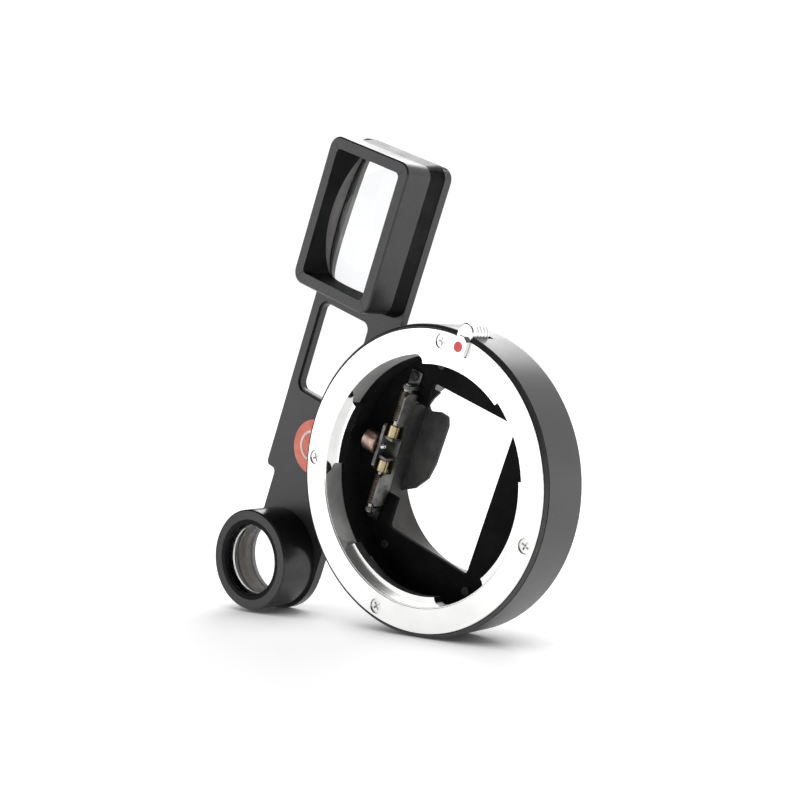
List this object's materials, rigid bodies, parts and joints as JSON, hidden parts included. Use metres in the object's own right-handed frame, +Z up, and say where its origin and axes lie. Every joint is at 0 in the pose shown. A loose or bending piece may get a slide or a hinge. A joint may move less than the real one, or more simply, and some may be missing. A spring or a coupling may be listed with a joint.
{
  "type": "close-up adapter ring with finder goggles",
  "caption": "Camera close-up adapter ring with two bayonets, a release latch, a sprung coupling rocker, and a goggle plate with a rectangular viewfinder hood and a round rangefinder tube.",
  "frame": {"origin": "on the optical axis, in the plane of the camera-side flange face, at the register cylinder's root", "axes": "+Y along the optical axis towards the camera, -Y towards the lens, +Z up with the part standing on its ring and its plate, +X to the right seen from the lens side"},
  "size_m": [0.0788, 0.0209, 0.0898],
  "materials": {
    "black_anodised": "satin black anodised aluminium",
    "satin_chrome": "satin chrome plated brass with fine turning marks",
    "screw_steel": "bright machined steel",
    "spring_steel": "polished spring steel",
    "matte_black": "flat black anti-reflection paint",
    "black_screws": "blackened steel",
    "red_paint": "red enamel",
    "black_paint": "fine satin black paint",
    "hood_black": "fine satin black paint",
    "coated_glass": "clear glass with a faint coating",
    "gloss_black": "semi-gloss black lacquer",
    "marker_red": "orange-red enamel",
    "white_paint": "white enamel",
    "grey_steel": "grey satin steel",
    "brass_wire": "pale brass wire",
    "brass_bush": "pale brass",
    "copper_roller": "copper-coloured bronze",
    "blade_black": "rough matte black"
  },
  "bodies": {
    "ring_assembly": {"body_ring": "black_anodised", "lens_flange": "satin_chrome", "lens_flange_screws": "screw_steel", "bayonet_spring": "spring_steel", "rear_bayonet": "satin_chrome", "rear_bayonet_screws": "screw_steel", "baffle_plate": "matte_black", "baffle_screws": "black_screws", "latch_spring": "spring_steel", "goggle_plate": "black_paint", "goggle_screws": "black_screws", "viewfinder_hood": "hood_black", "hood_screws": "black_screws", "viewfinder_front_lens": "coated_glass", "viewfinder_rear_lens": "coated_glass", "rangefinder_tube": "gloss_black", "rangefinder_retaining_ring": "screw_steel", "rangefinder_front_lens": "coated_glass", "rangefinder_rear_lens": "coated_glass", "marker_disc": "marker_red", "marker_inlay": "white_paint", "hinge_bracket": "grey_steel", "bracket_screws": "black_screws", "rocker_pins": "spring_steel", "rocker_springs": "brass_wire"},
    "latch": {"release_latch": "satin_chrome", "latch_dot": "red_paint"},
    "rocker": {"rocker_plate": "grey_steel", "roller_carrier": "grey_steel", "rocker_bushes": "brass_bush", "roller_axle": "screw_steel", "coupling_blade": "blade_black"},
    "roller": {"cam_roller": "copper_roller"}
  },
  "joints": [
    {"name": "latch_slide", "type": "slide", "parent": "ring_assembly", "child": "latch", "axis": [0, 1, 0], "range_m": [0, 0.0014], "stiffness_N_per_m": 300, "springref_m": -0.001, "deforming": ["latch_spring"]},
    {"name": "rocker_pivot", "type": "hinge", "parent": "ring_assembly", "child": "rocker", "pos_m": [-0.01233, -0.0053, 0.00498], "axis": [-0.3746, 0, -0.9272], "range_deg": [0, 18], "stiffness_Nm_per_rad": 0.002, "springref_deg": -28.65},
    {"name": "roller_spin", "type": "hinge", "parent": "rocker", "child": "roller", "pos_m": [-0.01548, -0.0057, 0.00626], "axis": [0.9272, 0, -0.3746], "continuous": true}
  ]
}
